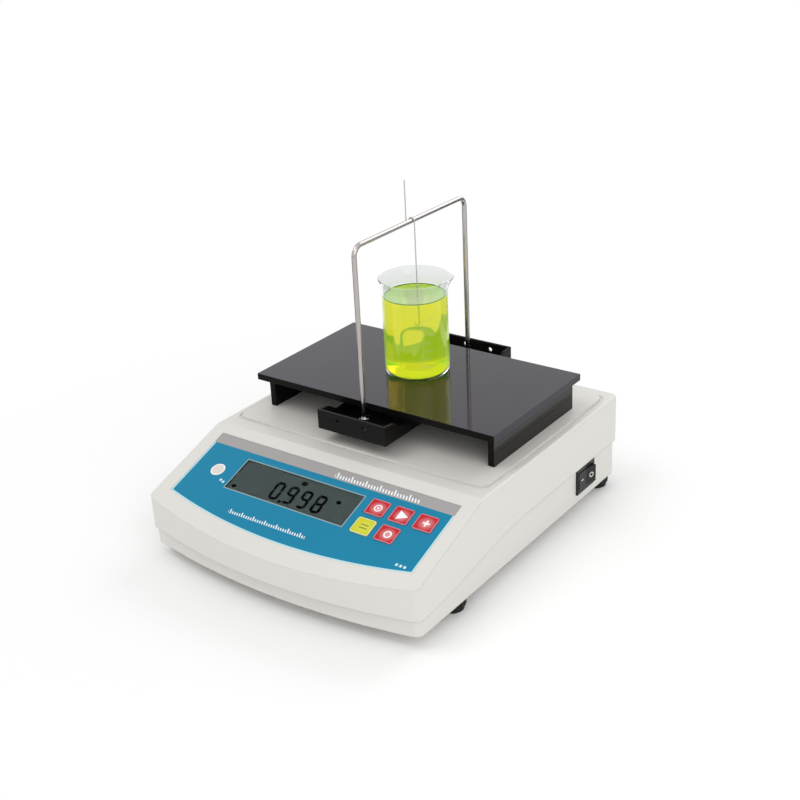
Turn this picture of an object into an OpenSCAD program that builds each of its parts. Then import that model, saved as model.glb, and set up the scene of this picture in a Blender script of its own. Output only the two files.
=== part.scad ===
// Benchtop density meter: balance base, sample table, wire frame and glass sinker.
// X points right when facing the panel, Y to the back, Z up. The origin is on the bench,
// under the middle of the housing.

/* [Housing] */
// Width of the upper shell at the seam
body_w = 193.5; // [186:0.5:206]
// Depth of the housing at its sides
body_l = 218.5; // [212:0.5:230]
// How far the bowed front stands out past its corners
front_bow = 13; // [6:0.5:16]
// How far the lower shell's front bows out
lower_bow = 10.5; // [5:0.5:12]
// How far the lower shell stands inside the upper one
seam_step = 1.2; // [1:0.1:2.2]
// Height of the front face above the housing's underside
front_h = 30; // [28:0.2:33]
// Height of the rim round the plateau above the underside
rim_h = 52.4; // [50:0.2:56]
// Rise of the plateau above its rim
plateau_rise = 0.8; // [0.4:0.1:1.2]
// Height of the seam at the front above the underside
seam_front_h = 10.4; // [9:0.2:13]
// Height of the seam at the back above the underside
seam_rear_h = 22.9; // [21:0.1:26]
// Wall thickness of both shells
wall = 2.5; // [2:0.1:3]
// How far each side leans in from the seam to the rim
side_draft = 1.2; // [0.6:0.1:2]
// Radius of the housing's upright corners
corner_r = 5; // [3:0.5:8]

/* [Panel] */
// Slope of the panel
panel_angle = 19.3; // [17:0.1:21]
// Distance from the printed film to each side of the housing
film_margin = 10.1; // [8:0.1:13]
// Length of the film at its sides, down the slope
film_l = 50.1; // [48:0.1:51]
// How far the film's lower edge bows out
film_bow = 10.5; // [5:0.5:11]
// Thickness of the film
film_t = 0.5; // [0.3:0.1:0.6]
// Thickness of the membrane switch layer
membrane_t = 0.6; // [0.4:0.1:0.8]
// Height of the display window
window_h = 23.4; // [20:0.2:25]
// Width of a key
key_w = 12; // [10:0.5:13]
// Height of a key down the slope
key_h = 10.9; // [9:0.1:12]
// Sideways pitch of the keys
key_pitch_x = 16; // [15:0.5:17]
// Pitch of the key rows down the slope
key_pitch_s = 14.4; // [13.5:0.1:15]
// Travel of a key
key_travel = 0.35; // [0.2:0.05:0.5]
// Diameter of the round level window
vial_d = 9.2; // [8:0.1:11]

/* [Weighing tray] */
// Width of the tray
tray_w = 49; // [44:1:56]
// Length of the tray, front to back
tray_l = 136; // [132:1:144]
// Gap between the plateau and the tray
tray_gap = 8.2; // [8:0.2:10]
// Thickness of the tray's sheet
sheet_t = 1.5; // [1:0.1:2]
// Height of the tray's end walls
tray_end_h = 12; // [11:0.5:13]
// Height of the tray's side walls under the table
tray_side_h = 6; // [5:0.5:7]
// Diameter of the holes in the end walls
tray_hole_d = 3; // [2:0.5:4]
// Diameter of the post that carries the tray
post_d = 10; // [8:0.5:12]

/* [Wire frame] */
// Diameter of the frame's rod
rod_d = 3; // [2.5:0.1:4]
// Distance between the frame's uprights
frame_span = 110.5; // [108:0.5:114]
// Height of the frame above the tray's floor
frame_h = 111; // [105:1:125]
// Bend radius of the frame's corners
bend_r = 6; // [4:0.5:9]
// Diameter of the hook wire
wire_d = 0.7; // [0.5:0.1:1]
// Height of the hook's tail above the frame
tail_h = 24.5; // [15:0.5:35]

/* [Table] */
// Width of the table's plate
table_w = 172; // [164:1:178]
// Depth of the table's plate
table_l = 97.4; // [92:0.2:99]
// Thickness of the table's plate
table_t = 4; // [3:0.5:5]
// Height of the table's legs
leg_h = 18.9; // [18:0.1:22]
// Thickness of the table's legs
leg_t = 4; // [3:0.5:5]

/* [Beaker and sinker] */
// Outer diameter of the beaker
beaker_d = 39.6; // [38:0.2:42]
// Height of the beaker
beaker_h = 61.2; // [56:0.2:64]
// Thickness of the beaker's wall
glass_t = 1.2; // [1:0.1:1.5]
// How far the spout reaches from the beaker's axis
spout_reach = 24; // [22.5:0.5:25]
// Diameter of the sinker
sinker_d = 17; // [14:0.5:19]
// Height of the sinker's glass body
sinker_h = 26; // [20:0.5:29]
// Gap between the sinker and the beaker's floor
sinker_gap = 3.8; // [3.6:0.1:6]

/* [Feet and switch] */
// Diameter of a foot's turning wheel
foot_d = 16; // [14:0.5:18]
// Height of a foot's turning wheel
wheel_h = 5; // [4:0.5:6]
// Height of a foot's soft pad
pad_h = 3; // [2.5:0.1:4]
// Diameter of a foot's stud
stud_d = 6; // [5:0.5:7]
// Gap between a foot's wheel and the housing
foot_gap = 0.6; // [0.4:0.1:1]
// Length of the switch's bezel
bezel_l = 21; // [20:0.1:23]
// Height of the switch's bezel
bezel_h = 17; // [16:0.1:18.2]
// Swing of the rocker from one side to the other
rocker_swing = 15; // [12:0.5:16]

/* [Hidden] */
$fn = 48;

// Colours
shell_white = [0.87, 0.86, 0.83];
panel_blue = [0.13, 0.53, 0.67];
key_red = [0.80, 0.10, 0.17];
key_yellow = [0.88, 0.86, 0.20];
soft_black = [0.06, 0.06, 0.07];
steel = [0.75, 0.76, 0.78];
clear_glass = [0.85, 0.93, 0.95, 0.4];
board_green = [0.10, 0.40, 0.22];

// Small clearances used in many places
cut = 1;
running = 0.05;
snug = 0.1;
loose = 0.3;

// Housing, derived
rear_y = (body_l + front_bow) / 2;
corner_y = rear_y - body_l;
base_z = pad_h + wheel_h + foot_gap;
rim_z = base_z + rim_h;
plateau_z = rim_z + plateau_rise;
front_edge_z = base_z + front_h;
seam_front_z = base_z + seam_front_h;
seam_rear_z = base_z + seam_rear_h;
seam_ramp_l = 108;
lip_clear = 0.2;
lip_h = 3;
floor_z = base_z + wall;
crease_y = corner_y + (rim_z - front_edge_z) / tan(panel_angle);
plateau_inset = 5.5;
plateau_front = 9;
plateau_back = 6.5;
plateau_r = 6;
roof_r = 1.5;
inner_r = 0.5;
groove_w = 1.2;
groove_d = 0.6;

// Panel, derived: film_top_s is measured down the slope from the crease
film_top_s = 8.4;
film_sink = 0.3;
film_floor = film_sink + film_t;
recess_d = film_floor + membrane_t;
film_w = body_w - 2 * film_margin;
window_left = 31.2;
window_right = 56.1;
window_w = film_w - window_left - window_right;
window_x = (window_left - window_right) / 2;
window_s = 24.7;
glass_border = 2;
module_t = 2.8;
module_board_t = 1.6;
module_margin = 7;
key_in = 43.85;
key_x = film_w / 2 - key_in;
key_s = 17.9;
key_t = 0.7;
key_clear = 0.25;
key_r = 1.2;
ribbon_w = 12;
ribbon_slot = 1.5;
ribbon_row = 1.75;
vial_in = 17.55;
vial_x = vial_in - film_w / 2;
vial_s = 26.3;
vial_h = 7;
vial_flange_w = 2;

// Tray, frame and inner works
tray_back = 141;
tray_y = corner_y + tray_back;
tray_z = plateau_z + tray_gap;
tray_floor_z = tray_z + sheet_t;
tray_end_l = 8.5;
tray_ramp_l = 8.5;
tray_hole_pitch = 19;
tray_hole_z = 6;
tray_lip = 0.8;
post_clear = 3;
post_foot_h = 3;
spigot_d = post_d - 2;
spigot_h = 3;
bar_z = tray_floor_z + frame_h - rod_d / 2;
nut_w = 5.5;
nut_tall = 6;
nut_thin = 2.4;
rod_below = 0.8;
rod_end_z = tray_z - nut_thin - rod_below;
post_flange_d = 24;
post_flange_h = 2;
cell_w = 20;
cell_h = 20;
cell_l = 75;
cell_over = 12;
cell_hole_d = 14;
cell_hole_out = 10;
cell_slot = 6;
cell_bolt_d = 3.8;
cell_bolt_out = 5;
cell_bolt_reach = 8;
cell_head_d = 7;
cell_head_h = 2.5;
spacer_h = 5;
spacer_l = 18;
plate_t = 2;
plate_lift = 13.4;
plate_z = base_z + plate_lift;
plate_boss_in = 8;
cell_z = plate_z + plate_t + spacer_h;

// Table, beaker and sinker
table_fore = 1.7;
table_y = tray_y - table_fore;
table_z = plateau_z + leg_h;
leg_in = 4;
leg_front_in = 6;
leg_rear_in = 2.2;
beaker_x = -2.2;
beaker_back = 2.9;
beaker_y = tray_y + beaker_back;
beaker_z = table_z + table_t;
beaker_floor = 1.5;
rim_flare = 2.1;
rim_len = 7;
rim_edge = 1.2;
foot_bend = 3;
rim_bend = 8;
spout_r = 5.5;
spout_h = 10;
spout_angle = 29;
hook_y = tray_y;
hook_x = rod_d / 2 + snug + wire_d / 2;
sinker_z = beaker_z + beaker_floor + sinker_gap;
loop_r = 1.4;
loop_wire = 0.6;
loop_sink = 0.2;
loop_z = sinker_z + sinker_h + loop_r - loop_sink;
eye_r = 1.3;
eye_z = loop_z + loop_r - loop_wire / 2 - loose - wire_d / 2 + eye_r;
sinker_x = hook_x - eye_r;
sinker_dome = 6.5;
sinker_edge = 1.6;
tail_low = 0.6;
tail_step = 2.8;
tail_turn = 1;

// Feet and switch
foot_in = 10.8;
foot_front_in = 45.1;
foot_rear_in = 9;
knurl_d = 2;
knurl_step = 20;
foot_x = body_w / 2 - foot_in;
foot_front_y = corner_y + foot_front_in;
foot_rear_y = rear_y - foot_rear_in;
stud_up = 12;
boss_wall = 3;
pad_draft = 0.6;
wall_x = body_w / 2 - seam_step;
switch_in = 41.5;
switch_y = rear_y - switch_in;
switch_z = seam_rear_z - bezel_h / 2;
bezel_t = 1.2;
bezel_rim = 1.4;
body_in = 1.2;
body_depth = 18;
well_depth = 9;
terminal_l = 6;
terminal_w = 4;
terminal_t = 0.8;
terminal_out = 4;
rocker_clear = 0.4;
pivot_in = 3;
pivot_d = 2.4;
pivot_l = 0.9;
rocker_proud = 0.35;
rocker_edge = 1.6;
rocker_root = 3;
rocker_root_l = 7;
screw_d = 3;
screw_head_d = 5.8;
screw_head_h = 2.4;
front_boss_in = [13, 17];
rear_boss_in = [35, 9];
boss_d = 9;
boss_split_h = 10;
head_sink = 0.4;
screw_reach = 10;
chassis_screw_l = 6;
jack_x = 40;
jack_h = 11;
jack_d = 8;
jack_l = 12;
jack_rim = 1.5;
jack_bore = 5.6;
jack_pin = 2;
socket_rim_t = 0.8;
serial_x = -30;
serial_h = 11;
serial_w = 17.2;
serial_t = 8.4;
serial_lean = 1.4;
serial_r = 1.4;
serial_depth = 9;
serial_clear = 0.5;
serial_rim = [30.8, 12.5];
serial_screw_x = 12.5;
serial_nut_w = 5.2;
serial_nut_h = 2.4;
pin_pitch = 2.75;
pin_row = 1.4;
pin_d = 1.3;
pin_depth = 6;

// Chassis plate: clear of the switch at the side and of the sockets behind it
plate_side_gap = 1.55;
plate_rear_gap = 6.3;
plate_w = 2 * (wall_x - body_depth - terminal_l - plate_side_gap);
plate_l = 2 * (rear_y - seam_step - jack_l - plate_rear_gap - tray_y);
board_w = 50;
board_l = 44;
board_t = 1.6;
board_in = 4;
board_front_in = 2;
standoff_h = 5;
standoff_d = 5;
chip = [14, 14, 2];
driver_chip = [10, 7, 1.6];
plug = [16, 6, 7];
capacitor_d = 8;
capacitor_h = 12;

// ---- Shared outlines ----

function unit(v) = v / norm(v);

// Points of a rounded corner at b between a and c, in n steps
function corner_arc(a, b, c, r, n = 8) =
    let (u = unit(a - b), v = unit(c - b), half = acos(u * v) / 2)
    let (start = b + u * r / tan(half), end = b + v * r / tan(half))
    let (centre = b + unit(u + v) * r / sin(half), sweep = 180 - 2 * half)
    [for (i = [0 : n])
        centre + ((start - centre) * sin(sweep * (1 - i / n)) + (end - centre) * sin(sweep * i / n))
            / sin(sweep)];

// Closed outline from points [x, y, corner radius]
function rounded(p) =
    [for (i = [0 : len(p) - 1])
        let (a = p[(i + len(p) - 1) % len(p)], b = p[i], c = p[(i + 1) % len(p)])
        each b[2] > 0
            ? corner_arc([a[0], a[1]], [b[0], b[1]], [c[0], c[1]], b[2])
            : [[b[0], b[1]]]];

// Edge that bows out by bow between (half, y) and (-half, y), in n steps
function bow_points(half, y, bow, n = 24) =
    let (r = (half * half + bow * bow) / (2 * bow), reach = asin(half / r))
    [for (i = [0 : n]) [-r * sin(reach * (2 * i / n - 1)), y - bow + r * (1 - cos(reach * (2 * i / n - 1)))]];

// Housing outline seen from above, drawn in by inset
module plan(inset, bow, r) {
    half = body_w / 2 - inset;
    back = rear_y - inset;
    front = bow_points(half, corner_y + inset, bow);
    last = len(front) - 1;
    middle = [for (i = [1 : last - 1]) [front[i][0], front[i][1], 0]];
    polygon(rounded(concat(
        [[-half, back, r], [half, back, r], [front[0][0], front[0][1], r]],
        middle,
        [[front[last][0], front[last][1], r]])));
}

// Height of the seam at a place along the side
function seam_z(y) =
    let (t = min(1, max(0, (y - corner_y) / seam_ramp_l)))
    seam_front_z + (seam_rear_z - seam_front_z) * t * t * (3 - 2 * t);

seam_steps = 18;
function seam_line(lift) = concat(
    [[corner_y - front_bow - cut, seam_front_z + lift]],
    [for (i = [0 : seam_steps]) let (y = corner_y + seam_ramp_l * i / seam_steps) [y, seam_z(y) + lift]],
    [[rear_y + cut, seam_rear_z + lift]]);

// Turns a side outline drawn in (Y, Z) into a slab across the whole width
module across(w) {
    rotate([90, 0, 90]) linear_extrude(w, center = true) children();
}

module below_seam(lift) {
    across(body_w + 2 * cut)
        polygon(concat(seam_line(lift), [[rear_y + cut, 0], [corner_y - front_bow - cut, 0]]));
}

module above_seam(lift) {
    across(body_w + 2 * cut)
        polygon(concat(seam_line(lift),
            [[rear_y + cut, rim_z + rim_h], [corner_y - front_bow - cut, rim_z + rim_h]]));
}

// The whole housing's outside drawn in by inset: roof, slope, bowed plan and leaning sides
module housing_form(inset, edge_r) {
    front = corner_y - front_bow - cut;
    crease = crease_y + inset * (1 - cos(panel_angle)) / sin(panel_angle);
    roof = rim_z - inset;
    half = body_w / 2 - inset;
    top = half - side_draft;
    intersection() {
        translate([0, 0, base_z]) linear_extrude(rim_h - inset)
            plan(inset, front_bow, max(inner_r, corner_r - inset));
        across(body_w)
            polygon([[crease, roof], [rear_y + cut, roof], [rear_y + cut, 0], [front, 0],
                [front, roof - (crease - front) * tan(panel_angle)]]);
        translate([0, rear_y + cut, 0]) rotate([90, 0, 0])
            linear_extrude(body_l + front_bow + 2 * cut)
            polygon(rounded([
                [-half, 0, 0], [half, 0, 0], [half, seam_rear_z, 0],
                [top, roof, edge_r], [-top, roof, edge_r], [-half, seam_rear_z, 0]]));
    }
}

// Places children on the slope: x along the panel, y up the slope, z out of it,
// measured from the middle of the film's top edge
module on_panel() {
    translate([0, crease_y - film_top_s * cos(panel_angle), rim_z - film_top_s * sin(panel_angle)])
        rotate([panel_angle, 0, 0]) children();
}

module film_outline(grow) {
    front = bow_points(film_w / 2 + grow, -film_l - grow, film_bow);
    polygon(concat([[-film_w / 2 - grow, grow], [film_w / 2 + grow, grow]], front));
}

module rounded_box(w, l, r) {
    polygon(rounded([[-w / 2, -l / 2, r], [w / 2, -l / 2, r], [w / 2, l / 2, r], [-w / 2, l / 2, r]]));
}

// Column and row of each key, in the order of their names
key_cells = [[0, 0], [1, 0], [2, 0], [0, 1], [1, 1]];
module at_key(i) {
    translate([key_x + key_pitch_x * key_cells[i][0], -key_s - key_pitch_s * key_cells[i][1], 0]) children();
}

// Screw places of the housing
screw_places = [for (side = [-1, 1])
    each [[side * (body_w / 2 - front_boss_in[0]), corner_y + front_boss_in[1]],
        [side * (body_w / 2 - rear_boss_in[0]), rear_y - rear_boss_in[1]]]];

foot_places = [[-foot_x, foot_front_y], [foot_x, foot_front_y], [-foot_x, foot_rear_y], [foot_x, foot_rear_y]];

plate_places = [for (side = [-1, 1]) for (end = [-1, 1])
    [side * (plate_w / 2 - plate_boss_in), tray_y + end * (plate_l / 2 - plate_boss_in)]];

// ---- Shells ----

module foot_boss(p) {
    translate([p[0], p[1], base_z]) cylinder(d = stud_d + 2 * boss_wall, h = stud_up - foot_gap);
}

module bottom_shell() {
    tongue = wall + lip_clear;
    inner = seam_step + wall;
    color(shell_white) difference() {
        union() {
            difference() {
                union() {
                    intersection() {
                        translate([0, 0, base_z]) linear_extrude(rim_h) plan(seam_step, lower_bow, corner_r);
                        below_seam(0);
                    }
                    intersection() {
                        translate([0, 0, base_z + wall]) linear_extrude(rim_h)
                            plan(tongue, lower_bow, corner_r - tongue + seam_step);
                        below_seam(lip_h);
                    }
                }
                translate([0, 0, floor_z]) linear_extrude(rim_h) plan(inner, lower_bow, corner_r - wall);
            }
            for (p = foot_places) foot_boss(p);
            for (p = screw_places) translate([p[0], p[1], base_z]) cylinder(d = boss_d, h = boss_split_h);
            for (p = plate_places) translate([p[0], p[1], base_z]) cylinder(d = boss_d, h = plate_z - base_z);
        }
        for (p = foot_places)
            translate([p[0], p[1], base_z - cut]) cylinder(d = stud_d + 2 * running, h = stud_up + 2 * cut);
        for (p = screw_places) translate([p[0], p[1], base_z]) {
            translate([0, 0, -cut]) cylinder(d = screw_d + 2 * snug, h = boss_split_h + 2 * cut);
            translate([0, 0, -cut]) cylinder(d = screw_head_d + 2 * snug, h = screw_head_h + head_sink + cut);
        }
        for (p = plate_places)
            translate([p[0], p[1], floor_z]) cylinder(d = screw_d, h = plate_z);
        // opening for the switch
        translate([wall_x - 2 * wall, switch_y - bezel_l / 2 + body_in, switch_z - bezel_h / 2 + body_in])
            cube([2 * wall + cut, bezel_l - 2 * body_in, bezel_h - 2 * body_in]);
        // openings for the sockets at the back
        translate([jack_x, rear_y + cut, base_z + jack_h]) rotate([90, 0, 0])
            cylinder(d = jack_d + 2 * snug, h = wall + seam_step + 2 * cut);
        translate([serial_x - serial_w / 2 - serial_clear, rear_y - wall - seam_step - cut,
            base_z + serial_h - serial_t / 2 - serial_clear])
            cube([serial_w + 2 * serial_clear, wall + seam_step + 2 * cut, serial_t + 2 * serial_clear]);
    }
}

module top_shell() {
    color(shell_white) difference() {
        union() {
            difference() {
                intersection() {
                    housing_form(0, roof_r);
                    above_seam(0);
                }
                housing_form(wall, inner_r);
            }
            // plateau inside its rim
            plateau_pad(rim_z - wall / 2, plateau_rise + wall / 2, groove_w);
            // screw bosses hang from the roof
            intersection() {
                housing_form(wall / 2, inner_r);
                for (p = screw_places)
                    translate([p[0], p[1], base_z + boss_split_h]) cylinder(d = boss_d, h = rim_h);
            }
        }
        difference() {
            plateau_pad(rim_z - groove_d, groove_d + cut, 0);
            plateau_pad(rim_z - groove_d - cut, groove_d + 3 * cut, groove_w);
        }
        for (p = screw_places)
            translate([p[0], p[1], base_z]) cylinder(d = screw_d, h = boss_split_h + screw_reach + 2 * cut);
        // way for the tray's post
        translate([0, tray_y, rim_z - wall - cut])
            cylinder(d = post_d + 2 * post_clear, h = wall + plateau_rise + 2 * cut);
        on_panel() {
            translate([0, 0, -recess_d]) linear_extrude(recess_d + cut) film_outline(snug);
            translate([window_x, -window_s, -wall - cut])
                linear_extrude(wall + 2 * cut)
                square([window_w + 2 * glass_border + 2 * loose, window_h + 2 * glass_border + 2 * loose],
                    center = true);
            translate([vial_x, -vial_s, -wall - cut]) cylinder(d = vial_d + 2 * snug, h = wall + 2 * cut);
            translate([key_x + key_pitch_x, -key_s - key_pitch_s * ribbon_row, -wall - cut])
                linear_extrude(wall + 2 * cut) square([ribbon_w, ribbon_slot], center = true);
        }
    }
}

module plateau_pad(z, h, inset) {
    half = body_w / 2 - plateau_inset - inset;
    front = crease_y + plateau_front + inset;
    back = rear_y - plateau_back - inset;
    translate([0, 0, z]) linear_extrude(h)
        polygon(rounded([[-half, front, plateau_r], [half, front, plateau_r],
            [half, back, plateau_r], [-half, back, plateau_r]]));
}

module housing_screws() {
    color(steel) for (p = screw_places) translate([p[0], p[1], base_z + head_sink]) {
        cylinder(d = screw_head_d, h = screw_head_h);
        cylinder(d = screw_d - 2 * running, h = boss_split_h + screw_reach);
    }
}

// ---- Panel ----

module panel_film() {
    color(panel_blue) on_panel() translate([0, 0, -film_floor]) linear_extrude(film_t) difference() {
        film_outline(0);
        translate([window_x, -window_s]) square([window_w, window_h], center = true);
        translate([vial_x, -vial_s]) circle(d = vial_d + 2 * snug);
        for (i = [0 : len(key_cells) - 1])
            at_key(i) rounded_box(key_w + 2 * key_clear, key_h + 2 * key_clear, key_r + key_clear);
    }
}

module key_membrane() {
    color([0.8, 0.8, 0.75]) on_panel() translate([0, 0, -recess_d]) linear_extrude(membrane_t) difference() {
        film_outline(0);
        translate([window_x, -window_s])
            square([window_w + 2 * glass_border + 2 * loose, window_h + 2 * glass_border + 2 * loose],
                center = true);
        translate([vial_x, -vial_s]) circle(d = vial_d + 2 * vial_flange_w + 2 * snug);
    }
}

module display_window() {
    color(clear_glass) on_panel() translate([window_x, -window_s, -film_floor])
        linear_extrude(film_t) square([window_w, window_h], center = true);
}

module display_module() {
    color([0.30, 0.36, 0.34]) on_panel() translate([window_x, -window_s, -film_floor - loose]) {
        translate([0, 0, -module_t]) linear_extrude(module_t)
            square([window_w + 2 * glass_border, window_h + 2 * glass_border], center = true);
        translate([0, 0, -module_t - module_board_t]) linear_extrude(module_board_t)
            square([window_w + 2 * module_margin, window_h + 2 * module_margin], center = true);
    }
}

module level_vial() {
    color([0.95, 0.95, 0.9]) on_panel() translate([vial_x, -vial_s, -film_floor]) {
        translate([0, 0, -vial_h]) cylinder(d = vial_d, h = vial_h + film_t);
        translate([0, 0, -membrane_t]) cylinder(d = vial_d + 2 * vial_flange_w, h = membrane_t);
    }
}

module key_cap(i) {
    on_panel() at_key(i) translate([0, 0, -film_floor + key_travel + running])
        linear_extrude(key_t) rounded_box(key_w, key_h, key_r);
}

module key_upper_left() { color(key_red) key_cap(0); }
module key_upper_middle() { color(key_red) key_cap(1); }
module key_upper_right() { color(key_red) key_cap(2); }
module key_lower_left() { color(key_yellow) key_cap(3); }
module key_lower_right() { color(key_red) key_cap(4); }

// ---- Inner works ----

module chassis_plate() {
    color(steel) difference() {
        translate([-plate_w / 2, tray_y - plate_l / 2, plate_z]) cube([plate_w, plate_l, plate_t]);
        for (p = plate_places)
            translate([p[0], p[1], plate_z - cut]) cylinder(d = screw_d + 2 * snug, h = plate_t + 2 * cut);
        for (p = cell_bolts(plate_z))
            translate(p) cylinder(d = cell_bolt_d + 2 * snug, h = plate_t + 2 * cut);
    }
}

module chassis_screws() {
    color(steel) for (p = plate_places) {
        translate([p[0], p[1], plate_z + plate_t]) cylinder(d = screw_head_d, h = screw_head_h);
        translate([p[0], p[1], plate_z - chassis_screw_l])
            cylinder(d = screw_d - 2 * running, h = plate_t + chassis_screw_l + screw_head_h / 2);
    }
}

cell_x = cell_over - cell_l;
function cell_bolts(z) = [for (side = [-1, 1]) [cell_x + spacer_l / 2, tray_y + side * cell_bolt_out, z - cut]];

module load_cell_spacer() {
    color(steel) difference() {
        translate([cell_x, tray_y - cell_w / 2, plate_z + plate_t]) cube([spacer_l, cell_w, spacer_h]);
        for (p = cell_bolts(plate_z + plate_t)) translate(p)
            cylinder(d = cell_bolt_d + 2 * snug, h = spacer_h + 2 * cut);
    }
}

// Bending beam with two round holes joined by a slot
module load_cell() {
    hole_x = cell_x + cell_l / 2;
    color([0.8, 0.81, 0.83]) difference() {
        translate([cell_x, tray_y - cell_w / 2, cell_z]) cube([cell_l, cell_w, cell_h]);
        for (side = [-1, 1])
            translate([hole_x + side * cell_hole_out, tray_y + cell_w / 2 + cut, cell_z + cell_h / 2])
                rotate([90, 0, 0]) cylinder(d = cell_hole_d, h = cell_w + 2 * cut);
        translate([hole_x - cell_hole_out, tray_y - cell_w / 2 - cut, cell_z + (cell_h - cell_slot) / 2])
            cube([2 * cell_hole_out, cell_w + 2 * cut, cell_slot]);
        for (p = cell_bolts(cell_z)) translate(p) cylinder(d = cell_bolt_d + 2 * snug, h = cell_h / 2 + cut);
    }
}

module load_cell_screws() {
    color(steel) for (p = cell_bolts(plate_z)) translate([p[0], p[1], plate_z]) {
        cylinder(d = cell_bolt_d, h = plate_t + spacer_h + cell_bolt_reach);
        translate([0, 0, -cell_head_h]) cylinder(d = cell_head_d, h = cell_head_h);
    }
}

module main_board() {
    board_z = plate_z + plate_t + standoff_h;
    x0 = plate_w / 2 - board_in - board_w;
    y0 = tray_y - plate_l / 2 + board_front_in;
    color(board_green) translate([x0, y0, board_z]) {
        cube([board_w, board_l, board_t]);
        for (dx = [board_in, board_w - board_in]) for (dy = [board_l * 0.4, board_l - board_in])
            translate([dx, dy, -standoff_h]) cylinder(d = standoff_d, h = standoff_h);
        translate([board_w * 0.24, board_l * 0.32, board_t]) cube(chip);
        translate([board_w * 0.64, board_l * 0.46, board_t]) cube(driver_chip);
        for (x = [board_w * 0.2, board_w * 0.42])
            translate([x, board_l * 0.82, board_t]) cylinder(d = capacitor_d, h = capacitor_h);
        translate([board_w * 0.6, board_l * 0.09, board_t]) cube(plug);
    }
}

// ---- Switch and sockets ----

module switch_body() {
    color(soft_black) translate([wall_x, switch_y, switch_z]) difference() {
        union() {
            translate([0, -bezel_l / 2, -bezel_h / 2]) cube([bezel_t, bezel_l, bezel_h]);
            translate([-body_depth, -bezel_l / 2 + body_in + snug, -bezel_h / 2 + body_in + snug])
                cube([body_depth, bezel_l - 2 * body_in - 2 * snug, bezel_h - 2 * body_in - 2 * snug]);
            for (side = [-1, 1])
                translate([-body_depth - terminal_l, -terminal_t / 2, side * terminal_out - terminal_w / 2])
                    cube([terminal_l + cut, terminal_t, terminal_w]);
        }
        translate([-well_depth, -well_l / 2, -well_h / 2]) cube([well_depth + bezel_t + cut, well_l, well_h]);
        translate([bezel_t - pivot_in, 0, 0])
            cylinder(d = pivot_d + 2 * running, h = well_h + 2 * pivot_l + 2 * snug, center = true);
    }
}

well_l = bezel_l - 2 * bezel_rim;
well_h = bezel_h - 2 * body_in - 2 * bezel_rim;

// Rocker with its front half pressed in; the outline is drawn level and then tipped
module power_rocker() {
    half_l = well_l / 2 - rocker_clear - loose;
    face = pivot_in + rocker_proud;
    crest = face + half_l * tan(rocker_swing / 2);
    color(soft_black) translate([wall_x + bezel_t - pivot_in, switch_y, switch_z]) {
        rotate([0, 0, -rocker_swing / 2]) linear_extrude(well_h - 2 * rocker_clear, center = true)
            polygon([[face, 0], [crest, half_l], [rocker_edge, half_l], [-rocker_root, rocker_root_l / 2],
                [-rocker_root, -rocker_root_l / 2], [rocker_edge, -half_l], [crest, -half_l]]);
        cylinder(d = pivot_d, h = well_h + 2 * pivot_l, center = true);
    }
}

module dc_jack() {
    color(soft_black) translate([jack_x, rear_y - seam_step, base_z + jack_h]) rotate([90, 0, 0]) {
        difference() {
            union() {
                translate([0, 0, -socket_rim_t]) cylinder(d = jack_d + 2 * jack_rim, h = socket_rim_t);
                cylinder(d = jack_d, h = jack_l);
            }
            translate([0, 0, -socket_rim_t - cut]) cylinder(d = jack_bore, h = jack_l - cut);
        }
        translate([0, 0, cut]) cylinder(d = jack_pin, h = jack_l - 2 * cut);
    }
}

module serial_port() {
    top = serial_w / 2;
    low = top - serial_lean;
    rise = serial_t / 2;
    color(steel) translate([serial_x, rear_y - seam_step, base_z + serial_h]) rotate([90, 0, 0])
        difference() {
            union() {
                translate([0, 0, -socket_rim_t]) linear_extrude(socket_rim_t)
                    rounded_box(serial_rim[0], serial_rim[1], serial_r);
                linear_extrude(serial_depth)
                    polygon(rounded([[-top, rise, serial_r], [top, rise, serial_r],
                        [low, -rise, serial_r], [-low, -rise, serial_r]]));
                for (side = [-1, 1]) translate([serial_screw_x * side, 0, -socket_rim_t - serial_nut_h])
                    cylinder(d = serial_nut_w, h = serial_nut_h, $fn = 6);
            }
            for (i = [-2 : 2]) translate([pin_pitch * i, pin_row, -socket_rim_t - cut])
                cylinder(d = pin_d, h = pin_depth);
            for (i = [-2 : 1]) translate([pin_pitch * (i + 0.5), -pin_row, -socket_rim_t - cut])
                cylinder(d = pin_d, h = pin_depth);
        }
}

// ---- Feet ----

module foot_pad(p) {
    color(soft_black) translate([p[0], p[1], 0])
        cylinder(d1 = foot_d - 4 * pad_draft, d2 = foot_d - 2 * pad_draft, h = pad_h);
}

// Knurled wheel with its stud
module foot_screw(p) {
    color(soft_black) translate([p[0], p[1], pad_h]) {
        difference() {
            cylinder(d = foot_d, h = wheel_h);
            for (a = [0 : knurl_step : 360 - knurl_step]) rotate([0, 0, a])
                translate([foot_d / 2 + knurl_d / 4, 0, -cut]) cylinder(d = knurl_d, h = wheel_h + 2 * cut);
        }
        cylinder(d = stud_d, h = wheel_h + stud_up);
    }
}

module foot_pad_front_left() { foot_pad(foot_places[0]); }
module foot_pad_front_right() { foot_pad(foot_places[1]); }
module foot_pad_rear_left() { foot_pad(foot_places[2]); }
module foot_pad_rear_right() { foot_pad(foot_places[3]); }
module foot_screw_front_left() { foot_screw(foot_places[0]); }
module foot_screw_front_right() { foot_screw(foot_places[1]); }
module foot_screw_rear_left() { foot_screw(foot_places[2]); }
module foot_screw_rear_right() { foot_screw(foot_places[3]); }

// ---- Tray and frame ----

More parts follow.
